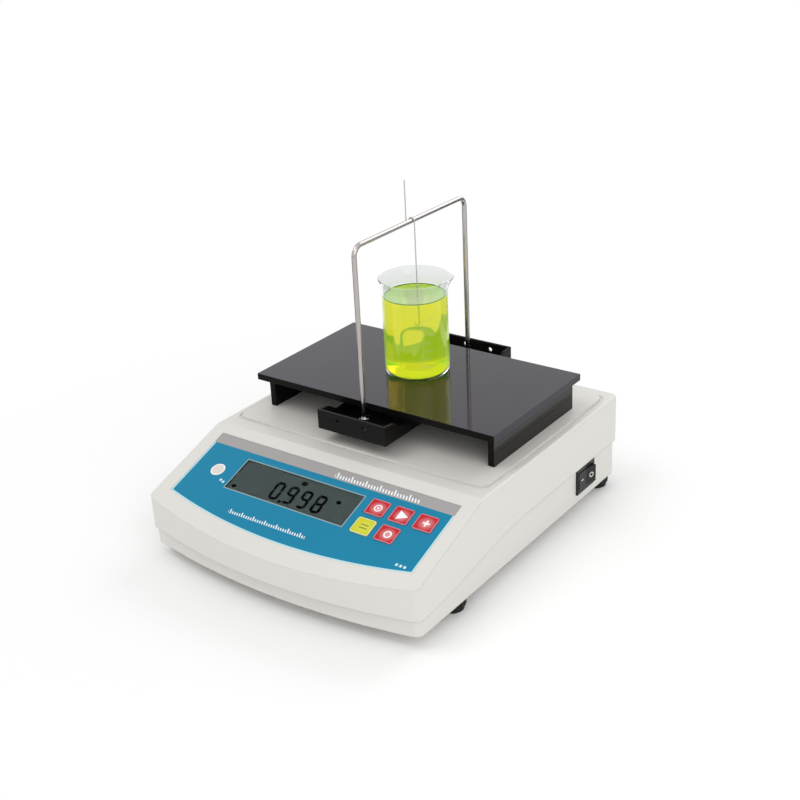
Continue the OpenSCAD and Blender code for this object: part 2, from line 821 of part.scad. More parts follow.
module pan_post() {
    color([0.8, 0.81, 0.83]) translate([0, tray_y, 0]) {
        translate([0, 0, cell_z + cell_h]) cylinder(d = cell_w - 2 * cut, h = post_foot_h);
        translate([0, 0, cell_z + cell_h]) cylinder(d = post_d, h = tray_z - cell_z - cell_h);
        translate([0, 0, tray_z - post_flange_h]) cylinder(d = post_flange_d, h = post_flange_h);
        translate([0, 0, tray_z]) cylinder(d = spigot_d, h = spigot_h);
    }
}

module weigh_tray() {
    front = -tray_l / 2;
    flat = front + tray_end_l;
    low = flat + tray_ramp_l;
    side = [[front, 0], [front, tray_end_h], [flat, tray_end_h - tray_lip], [low, tray_side_h],
        [-low, tray_side_h], [-flat, tray_end_h - tray_lip], [-front, tray_end_h], [-front, 0]];
    color(soft_black) translate([0, tray_y, tray_z]) difference() {
        union() {
            translate([-tray_w / 2, front, 0]) cube([tray_w, tray_l, sheet_t]);
            for (x = [-1, 1]) translate([x * (tray_w - sheet_t) / 2, 0, 0]) across(sheet_t) polygon(side);
            for (y = [-1, 1])
                translate([-tray_w / 2, y * (tray_l - sheet_t) / 2 - sheet_t / 2, 0])
                    cube([tray_w, sheet_t, tray_end_h]);
        }
        for (x = [-1, 1]) translate([x * tray_hole_pitch / 2, -tray_l / 2 - cut, tray_hole_z + sheet_t])
            rotate([-90, 0, 0]) cylinder(d = tray_hole_d, h = tray_l + 2 * cut);
        translate([0, 0, -cut]) cylinder(d = spigot_d + 2 * snug, h = sheet_t + 2 * cut);
        for (y = [-1, 1]) translate([0, y * frame_span / 2, -cut])
            cylinder(d = rod_d + 2 * snug, h = sheet_t + 2 * cut);
    }
}

module frame_nuts() {
    color(steel) for (y = [-1, 1]) translate([0, tray_y + y * frame_span / 2, 0]) {
        difference() {
            translate([0, 0, tray_floor_z]) cylinder(d = nut_w / cos(30), h = nut_tall, $fn = 6);
            translate([0, 0, tray_floor_z - cut]) cylinder(d = rod_d, h = nut_tall + 2 * cut);
        }
        difference() {
            translate([0, 0, tray_z - nut_thin]) cylinder(d = nut_w / cos(30), h = nut_thin, $fn = 6);
            translate([0, 0, tray_z - nut_thin - cut]) cylinder(d = rod_d, h = nut_thin + 2 * cut);
        }
    }
}

module wire_frame() {
    straight = bar_z - bend_r - rod_end_z;
    color(steel) translate([0, tray_y, 0]) {
        for (y = [-1, 1]) {
            translate([0, y * frame_span / 2, rod_end_z]) cylinder(d = rod_d, h = straight);
            translate([0, y * (frame_span / 2 - bend_r), bar_z - bend_r])
                rotate([0, 0, y * 90]) rotate([90, 0, 0]) rotate_extrude(angle = 90)
                translate([bend_r, 0]) circle(d = rod_d);
        }
        translate([0, frame_span / 2 - bend_r, bar_z]) rotate([90, 0, 0])
            cylinder(d = rod_d, h = frame_span - 2 * bend_r);
    }
}

// Quarter or half turn of the hook wire about the Y axis, from angle a0 over a degrees
module wire_turn(r, a0, a) {
    rotate([90, 0, 0]) rotate([0, 0, a0]) rotate_extrude(angle = a) translate([r, 0]) circle(d = wire_d);
}

// Wire bent over the frame's bar: the tail stands up behind it, the long leg hangs down
module hook_wire() {
    tail_y = hook_y - tail_step;
    low_z = bar_z - tail_low;
    color(steel) {
        translate([0, hook_y, bar_z]) wire_turn(hook_x, 0, 180);
        translate([hook_x, hook_y, eye_z]) cylinder(d = wire_d, h = bar_z - eye_z);
        translate([hook_x - eye_r, hook_y, eye_z]) wire_turn(eye_r, 180, 180);
        translate([-hook_x, hook_y, low_z]) cylinder(d = wire_d, h = bar_z - low_z);
        translate([-hook_x, hook_y - tail_turn, low_z])
            rotate([0, 0, 90]) wire_turn(tail_turn, 270, 90);
        translate([-hook_x, hook_y - tail_turn, low_z - tail_turn])
            rotate([90, 0, 0]) cylinder(d = wire_d, h = tail_step - 2 * tail_turn);
        translate([-hook_x, tail_y + tail_turn, low_z])
            rotate([0, 0, 90]) wire_turn(tail_turn, 180, 90);
        translate([-hook_x, tail_y, low_z]) cylinder(d = wire_d, h = bar_z - low_z + tail_h);
    }
}

// Dome-topped glass body with a glass loop
module glass_sinker() {
    r = sinker_d / 2;
    profile = rounded([[0, 0, 0], [r, 0, sinker_edge], [r, sinker_h, sinker_dome], [0, sinker_h, 0]]);
    color(clear_glass) translate([sinker_x, hook_y, sinker_z]) {
        rotate_extrude() polygon(profile);
        translate([0, 0, sinker_h + loop_r - loop_sink]) rotate([90, 0, 90]) rotate_extrude()
            translate([loop_r, 0]) circle(d = loop_wire, $fn = 24);
    }
}

// ---- Table and beaker ----

module table_top() {
    color(soft_black) translate([-table_w / 2, table_y - table_l / 2, table_z])
        cube([table_w, table_l, table_t]);
}

module table_leg(side) {
    x = side * (table_w / 2 - leg_in - leg_t / 2) - leg_t / 2;
    color(soft_black) translate([x, table_y - table_l / 2 + leg_front_in, plateau_z])
        cube([leg_t, table_l - leg_front_in - leg_rear_in, leg_h]);
}

module table_leg_left() { table_leg(-1); }
module table_leg_right() { table_leg(1); }

module beaker() {
    r = beaker_d / 2;
    rim = r + rim_flare;
    shoulder = beaker_h - rim_len;
    wall_profile = [[0, 0, 0], [r, 0, foot_bend], [r, shoulder, rim_bend], [rim, beaker_h - rim_edge, 0],
        [rim, beaker_h, 0], [rim - glass_t, beaker_h, 0], [r - glass_t, shoulder + glass_t / 3, rim_bend],
        [r - glass_t, beaker_floor, foot_bend - cut], [0, beaker_floor, 0]];
    spout_z = beaker_h - spout_h;
    color(clear_glass) translate([beaker_x, beaker_y, beaker_z]) rotate([0, 0, spout_angle]) difference() {
        union() {
            rotate_extrude() polygon(rounded(wall_profile));
            difference() {
                translate([spout_reach - spout_r, 0, spout_z]) cylinder(r1 = 0.8, r2 = spout_r, h = spout_h);
                translate([0, 0, spout_z - cut]) cylinder(r = r - glass_t / 2, h = spout_h + 2 * cut);
            }
        }
        translate([spout_reach - spout_r, 0, spout_z + cut])
            cylinder(r1 = 0.1, r2 = spout_r - glass_t / 2, h = spout_h);
    }
}

bottom_shell();
top_shell();
panel_film();
display_window();
display_module();
key_membrane();
level_vial();
main_board();
chassis_plate();
chassis_screws();
load_cell_spacer();
load_cell();
load_cell_screws();
switch_body();
dc_jack();
serial_port();
housing_screws();
power_rocker();
key_upper_left();
key_upper_middle();
key_upper_right();
key_lower_left();
key_lower_right();
foot_pad_front_left();
foot_pad_front_right();
foot_pad_rear_left();
foot_pad_rear_right();
foot_screw_front_left();
foot_screw_front_right();
foot_screw_rear_left();
foot_screw_rear_right();
pan_post();
weigh_tray();
frame_nuts();
wire_frame();
hook_wire();
glass_sinker();
table_top();
table_leg_left();
table_leg_right();
beaker();
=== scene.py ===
import math

import bpy
from mathutils import Matrix, Vector


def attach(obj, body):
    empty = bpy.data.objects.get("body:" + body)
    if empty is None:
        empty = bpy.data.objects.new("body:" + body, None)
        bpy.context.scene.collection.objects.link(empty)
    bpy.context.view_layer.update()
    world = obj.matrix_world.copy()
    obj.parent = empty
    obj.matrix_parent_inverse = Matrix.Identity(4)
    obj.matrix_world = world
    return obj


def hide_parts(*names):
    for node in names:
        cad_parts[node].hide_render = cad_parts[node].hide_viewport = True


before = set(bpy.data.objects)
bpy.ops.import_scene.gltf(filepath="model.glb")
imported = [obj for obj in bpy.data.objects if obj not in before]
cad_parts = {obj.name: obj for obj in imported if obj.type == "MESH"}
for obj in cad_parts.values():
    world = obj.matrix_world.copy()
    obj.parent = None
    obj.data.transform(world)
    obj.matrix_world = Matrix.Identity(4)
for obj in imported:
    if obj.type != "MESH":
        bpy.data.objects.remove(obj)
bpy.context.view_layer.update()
mm = 0.001
perMetre = 1000  # millimetres in a metre, for coordinates inside the materials
print("frame loaded")


cameraSet = {
    "place": (434.1, -557.65, 409.1), "azimuth": 37.0, "elevation": 24.9, "roll": -2.9,
    "lens": 59.4, "sensor": 36, "clipStart": 0.01,
}


def makeCamera(s):
    azimuth, elevation, roll = (math.radians(s[key]) for key in ("azimuth", "elevation", "roll"))
    forward = Vector((-math.sin(azimuth) * math.cos(elevation),
                      math.cos(azimuth) * math.cos(elevation), -math.sin(elevation)))
    right = Vector((math.cos(azimuth), math.sin(azimuth), 0))
    up = right.cross(forward)
    rolledRight = right * math.cos(roll) + up * math.sin(roll)
    rolledUp = up * math.cos(roll) - right * math.sin(roll)
    data = bpy.data.cameras.new("camera")
    data.lens = s["lens"]
    data.sensor_width = s["sensor"]
    data.clip_start = s["clipStart"]
    camera = bpy.data.objects.new("camera", data)
    bpy.context.scene.collection.objects.link(camera)
    turn = Matrix((rolledRight, rolledUp, -forward)).transposed()
    camera.matrix_world = Matrix.Translation(Vector(s["place"]) * mm) @ turn.to_4x4()
    bpy.context.scene.camera = camera


lightSet = {
    "key": {"place": (-0.5, -0.6, 1.35), "size": 0.9, "power": 4.7},
    "fill": {"place": (0.95, -0.55, 0.75), "size": 1.0, "power": 3.7},
    "rim": {"place": (0.2, 1.1, 0.9), "size": 1.0, "power": 4.4},
}
lightsAim = Vector((0, 0, 0.08))


def makeLights(s):
    for name, lampSet in s.items():
        lamp = bpy.data.lights.new(name, "AREA")
        lamp.shape = "DISK"
        lamp.size = lampSet["size"]
        lamp.energy = lampSet["power"]
        holder = bpy.data.objects.new(name, lamp)
        bpy.context.scene.collection.objects.link(holder)
        place = Vector(lampSet["place"])
        holder.location = place
        holder.rotation_euler = (lightsAim - place).to_track_quat("-Z", "Y").to_euler()


worldSet = {"asLight": 0.65, "asSeen": 1.0}


def makeWorld(s):
    # white to the camera, in gloss and through glass, and dimmer as a light
    world = bpy.data.worlds.new("studio")
    bpy.context.scene.world = world
    world.use_nodes = True
    tree = world.node_tree
    sky = tree.nodes["Background"]
    rays = tree.nodes.new("ShaderNodeLightPath")
    seen = tree.nodes.new("ShaderNodeMath")
    seen.operation = "MAXIMUM"
    glossyOrClear = tree.nodes.new("ShaderNodeMath")
    glossyOrClear.operation = "MAXIMUM"
    tree.links.new(rays.outputs["Is Glossy Ray"], glossyOrClear.inputs[0])
    tree.links.new(rays.outputs["Is Transmission Ray"], glossyOrClear.inputs[1])
    tree.links.new(rays.outputs["Is Camera Ray"], seen.inputs[0])
    tree.links.new(glossyOrClear.outputs[0], seen.inputs[1])
    strength = tree.nodes.new("ShaderNodeMapRange")
    strength.inputs["To Min"].default_value = s["asLight"]
    strength.inputs["To Max"].default_value = s["asSeen"]
    tree.links.new(seen.outputs[0], strength.inputs["Value"])
    tree.links.new(strength.outputs[0], sky.inputs["Strength"])
    sky.inputs["Color"].default_value = (1, 1, 1, 1)


makeCamera(cameraSet)
makeLights(lightSet)
makeWorld(worldSet)
bpy.context.scene.view_settings.view_transform = "Standard"
print("camera and lights set")


class Value:
    # a number on a socket: an expression on it adds Math nodes
    def __init__(self, finish, socket):
        self.finish = finish
        self.socket = socket

    def __add__(self, other):
        return self.finish.math("ADD", self, other)

    def __radd__(self, other):
        return self.finish.math("ADD", other, self)

    def __sub__(self, other):
        return self.finish.math("SUBTRACT", self, other)

    def __rsub__(self, other):
        return self.finish.math("SUBTRACT", other, self)

    def __mul__(self, other):
        return self.finish.math("MULTIPLY", self, other)

    def __rmul__(self, other):
        return self.finish.math("MULTIPLY", other, self)

    def __truediv__(self, other):
        return self.finish.math("DIVIDE", self, other)

    def __abs__(self):
        return self.finish.math("ABSOLUTE", self)

    def __or__(self, other):
        return self.finish.math("MAXIMUM", self, other)

    def __and__(self, other):
        return self.finish.math("MINIMUM", self, other)


socketNames = {
    "colour": "Base Color", "rough": "Roughness", "metal": "Metallic", "clear": "Transmission Weight",
    "bend": "IOR", "coat": "Coat Weight", "coatRough": "Coat Roughness", "normal": "Normal",
    "shine": "Specular IOR Level", "glow": "Emission Strength", "glowColour": "Emission Color",
}


class Finish:
    # a material: fixed values go straight on its shader, what changes over the surface is fed in
    def __init__(self, name, **fixed):
        self.material = bpy.data.materials.new(name)
        self.material.use_nodes = True
        self.tree = self.material.node_tree
        self.shader = self.tree.nodes["Principled BSDF"]
        for key, amount in fixed.items():
            self.shader.inputs[socketNames[key]].default_value = amount

    def node(self, kind, settings=None, values=None, out=0):
        made = self.tree.nodes.new(kind)
        for key, setting in (settings or {}).items():
            setattr(made, key, setting)
        for key, value in (values or {}).items():
            if isinstance(value, Value):
                self.tree.links.new(value.socket, made.inputs[key])
            else:
                made.inputs[key].default_value = value
        return Value(self, made.outputs[out])

    def math(self, operation, *parts):
        return self.node("ShaderNodeMath", {"operation": operation}, dict(enumerate(parts)))

    def coords(self):
        return self.node("ShaderNodeTexCoord", out="Object")

    def place(self, origin=(0, 0, 0), tilt=0):
        # x, y and z from the origin, in a frame tilted about x
        shift = -(Matrix.Rotation(-tilt, 3, "X") @ Vector(origin))
        placed = self.node("ShaderNodeMapping", values={
            "Vector": self.coords(), "Location": tuple(shift), "Rotation": (-tilt, 0, 0)})
        parts = self.tree.nodes.new("ShaderNodeSeparateXYZ")
        self.tree.links.new(placed.socket, parts.inputs[0])
        return [Value(self, part) for part in parts.outputs]

    def noise(self, scale, detail=3, roughness=0.5, vector=None):
        return self.node("ShaderNodeTexNoise", values={
            "Vector": vector or self.coords(), "Scale": scale, "Detail": detail, "Roughness": roughness})

    def mix(self, factor, a, b):
        return self.node("ShaderNodeMix", {"data_type": "RGBA"}, {0: factor, 6: a, 7: b}, out=2)

    def clamp(self, value):
        return self.node("ShaderNodeClamp", values={0: value})

    def edge(self, radius):
        return self.node("ShaderNodeBevel", {"samples": 6}, {"Radius": radius})

    def bump(self, height, strength, depth, normal):
        return self.node("ShaderNodeBump", values={
            "Height": height, "Strength": strength, "Distance": depth, "Normal": normal})

    def feed(self, **links):
        for key, value in links.items():
            self.tree.links.new(value.socket, self.shader.inputs[socketNames[key]])
        return self.material

    def cover(self, factor, other):
        # shows the other shader over this material's own, by the factor
        own = Value(self, self.shader.outputs[0])
        blend = self.node("ShaderNodeMixShader", values={0: factor, 1: own, 2: other})
        self.tree.links.new(blend.socket, self.tree.nodes["Material Output"].inputs["Surface"])


def tone(r, g, b):
    # a colour written in 0 to 255, made linear
    linear = []
    for share in (r / 255, g / 255, b / 255):
        linear.append(share / 12.92 if share <= 0.04045 else ((share + 0.055) / 1.055) ** 2.4)
    return (*linear, 1.0)


def scaled(colour, factor):
    return tuple(min(1, part * factor) for part in colour[:3]) + (1,)


def mask(f, depth, soft):
    # 1 where the depth is above zero, with an edge as wide as soft
    return f.clamp(depth / soft + 0.5)


def reach(f, dx, dy):
    return f.math("SQRT", dx * dx + dy * dy)


def box(f, x, y, cx, cy, w, h, soft):
    return mask(f, w / 2 - abs(x - cx), soft) * mask(f, h / 2 - abs(y - cy), soft)


def ring(f, x, y, cx, cy, radius, width, soft):
    return mask(f, width / 2 - abs(reach(f, x - cx, y - cy) - radius), soft)


def disc(f, x, y, cx, cy, radius, soft):
    return mask(f, radius - reach(f, x - cx, y - cy), soft)


def triangle(f, x, y, cx, cy, size, soft):
    inLeft = mask(f, x - cx + size * 0.5, soft)
    inSides = mask(f, size * 0.5 - (x - cx) * 0.5 - abs(y - cy) - size * 0.1, soft)
    return inLeft * inSides


def paint(nodeName, material):
    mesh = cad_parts[nodeName].data
    mesh.materials.clear()
    mesh.materials.append(material)
    for face in mesh.polygons:
        face.material_index = 0


def nodesNamed(start):
    return tuple(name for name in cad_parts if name.startswith(start))


plainSet = {  # colour, its spread, roughness, grain, depth of the grain, softened edge, shine
    "housingPlastic": ((222, 220, 214), 0.012, 0.44, 2600, 0.00004, 0.0011, 0.5),
    "blackPlastic": ((20, 19, 22), 0.10, 0.38, 2400, 0.00003, 0.0004, 0.3),
    "footRubber": ((20, 20, 22), 0.12, 0.62, 1800, 0.00006, 0.0005, 0.3),
    "trayPowderCoat": ((15, 14, 13), 0.15, 0.42, 3400, 0.00007, 0.0007, 0.15),
    "circuitBoard": ((28, 104, 58), 0.2, 0.35, 900, 0.00002, 0.0002, 0.5),
    "membraneLayer": ((206, 206, 196), 0.04, 0.4, 900, 0.00002, 0.0002, 0.5),
    "liquidCrystal": ((60, 71, 70), 0.03, 0.45, 1500, 0.00001, 0.0002, 0.1),
    "segmentInk": ((4, 5, 5), 0.2, 0.7, 1500, 0.00001, 0.0001, 0.0),
    "rockerInk": ((232, 232, 230), 0.03, 0.4, 900, 0.00001, 0.0001, 0.5),
    "cardBlack": ((66, 74, 82), 0.1, 0.9, 20, 0.0001, 0.001, 0.0),
}
driftSet = {"scale": 14, "detail": 4, "roughness": 0.6, "grainRough": 0.12, "driftRough": 0.08, "bump": 0.35}


def plainFinish(name):
    # moulded, painted or cast surface: slight colour drift, fine grain and softened edges
    colour, spread, rough, grain, depth, edge, shine = plainSet[name]
    f = Finish(name, shine=shine)
    drift = f.noise(driftSet["scale"], driftSet["detail"], driftSet["roughness"])
    fine = f.noise(grain, 2)
    middle = tone(*colour)
    return f.feed(
        colour=f.mix(drift, scaled(middle, 1 - spread), scaled(middle, 1 + spread)),
        rough=rough + (fine - 0.5) * driftSet["grainRough"] + (drift - 0.5) * driftSet["driftRough"],
        normal=f.bump(fine, driftSet["bump"], depth, f.edge(edge)))


plainPlaces = {
    "housingPlastic": ("bottom_shell", "top_shell"),
    "blackPlastic": ("switch_body", "power_rocker", "dc_jack") + nodesNamed("foot_screw"),
    "footRubber": nodesNamed("foot_pad"),
    "trayPowderCoat": ("weigh_tray",),
    "circuitBoard": ("main_board",),
    "membraneLayer": ("key_membrane",),
    "liquidCrystal": ("display_module",),
}
for finishName, places in plainPlaces.items():
    plain = plainFinish(finishName)
    for part in places:
        paint(part, plain)


metalSet = {  # colour, roughness, stretch of the polishing lines, nodes
    "polishedRod": ((186, 180, 178), 0.2, (1, 0.05, 0.05), ("wire_frame",)),
    "hookWire": ((196, 195, 196), 0.25, (1, 0.05, 0.05), ("hook_wire",)),
    "brightPlate": ((236, 236, 238), 0.14, (1, 1, 1), ("frame_nuts",)),
    "zincPlate": ((200, 202, 206), 0.32, (0.1, 1, 1), (
        "chassis_plate", "chassis_screws", "load_cell_spacer", "load_cell_screws", "housing_screws",
        "serial_port")),
    "machinedAluminium": ((206, 208, 212), 0.3, (0.08, 1, 1), ("load_cell", "pan_post")),
}
polishSet = {"lines": 900, "drift": 30, "darkest": 0.9, "spread": 0.12, "bump": 0.2, "depth": 0.00001,
             "edge": 0.0003}


def metalFinish(name, colour, rough, stretch, s):
    f = Finish(name, metal=1.0)
    stretched = f.node("ShaderNodeMapping", values={"Vector": f.coords(), "Scale": stretch})
    lines = f.noise(s["lines"], 2, vector=stretched)
    drift = f.noise(s["drift"])
    bright = tone(*colour)
    return f.feed(
        colour=f.mix(drift, scaled(bright, s["darkest"]), bright),
        rough=rough + (lines - 0.5) * s["spread"],
        normal=f.bump(lines, s["bump"], s["depth"], f.edge(s["edge"])))


for finishName, (colour, rough, stretch, places) in metalSet.items():
    metal = metalFinish(finishName, colour, rough, stretch, polishSet)
    for part in places:
        paint(part, metal)
print("plain and metal finishes done")


# painted sheen tones of the legs' polished faces, standing in for their reflections
legPaintedSheen = ((20, 19, 15), (26, 24, 20))
tableSet = {  # z of the polished top, x of the polished side (both in mm), painted sheen tones standing in for the reflections on both, and coat of the side
    "table_top": (84.7, 86, ((22, 15, 32), (28, 20, 39)), 0.4),
    "table_leg_left": (200, 82, legPaintedSheen, 0.3),
    "table_leg_right": (200, 82, legPaintedSheen, 0.3),
}
acrylicSet = {
    "black": (16, 15, 14), "topCoat": 0.6, "matt": 0.3, "polish": 0.24, "smearRough": 0.05,
    "bump": 0.05, "depth": 0.0004, "edge": 0.0004,
}


def acrylic(name, topZ, sideX, paintedSheen, sideCoat, s):
    # polished on the top and the outer right face, sawn and matt on the other edges; the polished faces also
    # get a painted sheen colour that stands in for their reflections
    f = Finish(name, shine=0.08, coatRough=0.03)
    x, y, z = f.place()
    top = f.clamp((z * perMetre - topZ) / 0.1 + 1.5)
    side = f.clamp((x * perMetre - sideX) / 0.1 + 1.5)
    haze = f.noise(40, 4, 0.6)
    smear = f.noise(7)
    # painted sheen: the reflections on the top and the right face, painted into their colour
    paintedSheenTone = f.mix(haze, *(tone(*colour) for colour in paintedSheen))
    return f.feed(
        colour=f.mix(top | side, tone(*s["black"]), paintedSheenTone),
        rough=s["matt"] - (top | side) * s["polish"] + smear * s["smearRough"],
        coat=top * s["topCoat"] | side * sideCoat,
        normal=f.bump(smear, s["bump"], s["depth"], f.edge(s["edge"])))


for part, settings in tableSet.items():
    paint(part, acrylic(part + "_acrylic", *settings, acrylicSet))
print("table polished")


panelSet = {  # in mm on the slope: x to the right, y up the slope, from the middle of its upper edge
    "angle": 19.3, "topDrop": 8.4, "rimHeight": 61.0, "cornerY": -102.75, "frontEdge": 38.6,
    "halfWidth": 86.65, "sideLength": 50.1, "bow": 10.5, "bandDepth": 7.6,
    "window": (-12.45, -24.7, 86.0, 23.4), "windowEdge": 1.3,
    # line and its softness: width of the painted highlight along the film's edge
    "line": 0.85, "edgeHighlightSoft": 0.15, "soft": 0.08, "slant": 0.3,
    "scales": ((33.4, -4.6, 59, 4.2, 2.0), (-12.5, -50.6, 56, 3.0, 1.7)),  # middle, length, height, pitch
    "squares": ((-61.6, -32.6, 1.6, 1.5), (-59.2, -33.4, 1.6, 1.5), (75.6, -48.2, 1.5, 1.6),
                (78.2, -48.2, 1.5, 1.6), (80.8, -48.2, 1.5, 1.6)),
    "blues": ((4, 127, 163), (8, 131, 168)), "bandTone": (166, 164, 163), "edgeHighlightTone": (186, 236, 246),
    "edgeTone": (150, 172, 174), "tickTone": (244, 248, 250), "squareTone": (214, 238, 244),
}
panelTilt = math.radians(panelSet["angle"])
creaseY = panelSet["cornerY"] + (panelSet["rimHeight"] - panelSet["frontEdge"]) / math.tan(panelTilt)
panelOrigin = Vector((0, creaseY - panelSet["topDrop"] * math.cos(panelTilt),
                      panelSet["rimHeight"] - panelSet["topDrop"] * math.sin(panelTilt))) * mm
panelMatrix = Matrix.Translation(panelOrigin) @ Matrix.Rotation(panelTilt, 4, "X")


def panelCoords(f):
    x, y, z = f.place(panelOrigin, panelTilt)
    return x * perMetre, y * perMetre


def tickScale(f, s, x, y, cx, cy, w, h, pitch):
    # slanted ticks, every fifth one taller
    slant = x + y * s["slant"]
    step = (slant - cx) / pitch + 40  # 40 keeps it above zero along the scale
    everyFifth = f.clamp((0.1 - abs(f.math("FRACT", step * 0.2) - 0.1)) * 200 + 0.5)
    tick = mask(f, 0.24 - abs(f.math("FRACT", step) - 0.5), 0.06)
    short = box(f, slant, y, cx + cy * s["slant"], cy - h * 0.2, w, h * 0.6, s["soft"])
    tall = box(f, slant, y, cx + cy * s["slant"], cy, w, h, s["soft"]) * everyFifth
    return tick * (short | tall)


def panelFilm(s):
    # blue film with a grey band above, a painted highlight line along its sides and lower arc, the window's
    # edge, tick scales and squares
    f = Finish("printedFilm", shine=0.2)
    x, y = panelCoords(f)
    drift = f.noise(20)
    fine = f.noise(2600, 2)
    colour = f.mix(drift, *(tone(*blue) for blue in s["blues"]))
    band = mask(f, y + s["bandDepth"], s["soft"])
    colour = f.mix(band, colour, tone(*s["bandTone"]))
    arcRadius = (s["halfWidth"] ** 2 + s["bow"] ** 2) / (2 * s["bow"])
    arcCentre = -s["sideLength"] - s["bow"] + arcRadius
    fromArc = arcRadius - reach(f, x, y - arcCentre)
    # painted highlight: a pale line along the film's sides and lower arc, where its edge catches the light
    edgeHighlight = mask(f, s["line"] - ((s["halfWidth"] - abs(x)) & fromArc), s["edgeHighlightSoft"])
    colour = f.mix(edgeHighlight * (1 - band), colour, tone(*s["edgeHighlightTone"]))
    cx, cy, w, h = s["window"]
    around = box(f, x, y, cx, cy, w + s["windowEdge"], h + s["windowEdge"], s["soft"])
    colour = f.mix(around, colour, tone(*s["edgeTone"]))
    for scale in s["scales"]:
        colour = f.mix(tickScale(f, s, x, y, *scale), colour, tone(*s["tickTone"]))
    for square in s["squares"]:
        colour = f.mix(box(f, x, y, *square, s["soft"]), colour, tone(*s["squareTone"]))
    return f.feed(
        colour=colour, rough=0.3 + (fine - 0.5) * 0.1, normal=f.bump(fine, 0.15, 0.00002, f.edge(0.0002)))


paint("panel_film", panelFilm(panelSet))


keySet = {
    "places": {"key_upper_left": (42.8, -17.9), "key_upper_middle": (58.8, -17.9),
               "key_upper_right": (74.8, -17.9), "key_lower_left": (42.8, -32.3),
               "key_lower_right": (58.8, -32.3)},
    "signs": {  # drawing, its place from the sign's middle, and its sizes
        "key_upper_left": ((ring, 0, 0, 2.1, 0.75), (disc, 0, 0, 0.7)),
        "key_upper_middle": ((triangle, 0, 0, 5.0),),
        "key_upper_right": ((box, 0, 0, 4.4, 1.1), (box, 0, 0, 1.1, 4.4)),
        "key_lower_left": ((box, 0, 1.1, 5.2, 1.0), (box, 0, -1.1, 5.2, 1.0)),
        "key_lower_right": ((ring, 0, 0, 2.0, 0.9),)},
    "size": (12.0, 10.9), "rim": 0.9, "rimSoft": 0.15, "signSoft": 0.1, "signMiddle": (0.6, -0.2),
    "yellow": {"deep": (206, 206, 36), "pale": (228, 230, 78), "rim": (240, 240, 180),
               "sign": (150, 152, 60), "glow": 0.8},
    "red": {"deep": (192, 8, 26), "pale": (246, 176, 180), "rim": (222, 140, 152),
            "sign": (255, 250, 250), "glow": 0.75},
}


def keySign(f, s, name, x, y, cx, cy):
    sign = None
    for draw, alongX, alongY, *sizes in s["signs"][name]:
        drawn = draw(f, x, y, cx + alongX, cy + alongY, *sizes, s["signSoft"])
        sign = sign | drawn if sign else drawn
    return sign


def keyFinish(s, name):
    # a pale glow in the middle, a lighter rim and the key's sign
    tones = s["yellow"] if name == "key_lower_left" else s["red"]
    f = Finish(name + "_film", shine=0.3)
    x, y = panelCoords(f)
    cx, cy = s["places"][name]
    w, h = s["size"]
    dx, dy = (x - cx - 0.6) / (w / 2), (y - cy + 0.3) / (h / 2)
    glow = f.clamp(1.05 - reach(f, dx, dy) * 1.15)
    colour = f.mix(glow * tones["glow"], tone(*tones["deep"]), tone(*tones["pale"]))
    rim = 1 - box(f, x, y, cx, cy, w - s["rim"], h - s["rim"], s["rimSoft"])
    colour = f.mix(rim, colour, tone(*tones["rim"]))
    sign = keySign(f, s, name, x, y, cx + s["signMiddle"][0], cy + s["signMiddle"][1])
    colour = f.mix(sign, colour, tone(*tones["sign"]))
    fine = f.noise(2400, 2)
    return f.feed(
        colour=colour, rough=0.28 + (fine - 0.5) * 0.1, normal=f.bump(fine, 0.15, 0.00002, f.edge(0.0004)))


for part in keySet["places"]:
    paint(part, keyFinish(keySet, part))


vialSet = {"middle": (-69.1, -26.3), "width": 9.2, "ring": 0.9, "soft": 0.3,
           "ringTone": (240, 246, 247), "windowTone": (226, 216, 207)}


def vialFinish(s):
    # white ring round a pale cream level window
    f = Finish("levelWindow", shine=0.3)
    x, y = panelCoords(f)
    fine = f.noise(900, 2)
    inner = disc(f, x, y, *s["middle"], s["width"] / 2 - s["ring"], s["soft"])
    return f.feed(
        colour=f.mix(inner, tone(*s["ringTone"]), tone(*s["windowTone"])),
        rough=0.3 + (fine - 0.5) * 0.1, normal=f.bump(fine, 0.15, 0.00001, f.edge(0.0002)))


paint("level_vial", vialFinish(vialSet))
print("panel printed")


def clearPane():
    f = Finish("clearPane", clear=1.0, bend=1.08)
    haze = f.noise(60)
    return f.feed(colour=f.mix(haze, (0.96, 0.98, 0.97, 1), (0.99, 1, 1, 1)), rough=haze * 0.01)


paint("display_window", clearPane())


def pick(piece):
    # selects the piece alone and makes it active
    for other in bpy.context.selected_objects:
        other.select_set(False)
    piece.select_set(True)
    bpy.context.view_layer.objects.active = piece


def settle(piece, name, body, material):
    # puts the piece's place into its mesh and hands it to its body
    pick(piece)
    bpy.ops.object.transform_apply(location=True, rotation=True, scale=True)
    piece.name = name
    piece.data.name = name
    piece.data.materials.clear()
    piece.data.materials.append(material)
    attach(piece, body)


def join(parts):
    pick(parts[0])
    for part in parts:
        part.select_set(True)
    bpy.ops.object.join()
    return parts[0]


displaySet = {  # in mm on the slope, as on the panel; middleS and pointS run down it
    "digits": "0998", "firstX": -22.6, "pitch": 10.1, "middleS": 27.2, "height": 13.6, "width": 6.9,
    "bar": 1.9, "lean": -0.06, "pointX": -16.4, "pointS": 33.6, "inkHeight": 0.04, "glassTop": -1.1,
    "gap": 0.01, "point": 0.45, "pointWidth": 0.12,
    "marks": ((-10.0, 16.8, 3.4, 3.2), (18.2, 21.8, 2.6, 2.6), (-50.9, 33.2, 3.0, 2.4)),
}
segmentPlaces = {  # middle x, middle y, upright?, in shares of the digit's width and half height
    "a": (0, 1, False), "b": (0.5, 0.5, True), "c": (0.5, -0.5, True), "d": (0, -1, False),
    "e": (-0.5, -0.5, True), "f": (-0.5, 0.5, True), "g": (0, 0, False),
}
digitSegments = {"0": "abcdef", "9": "abcdfg", "8": "abcdefg"}


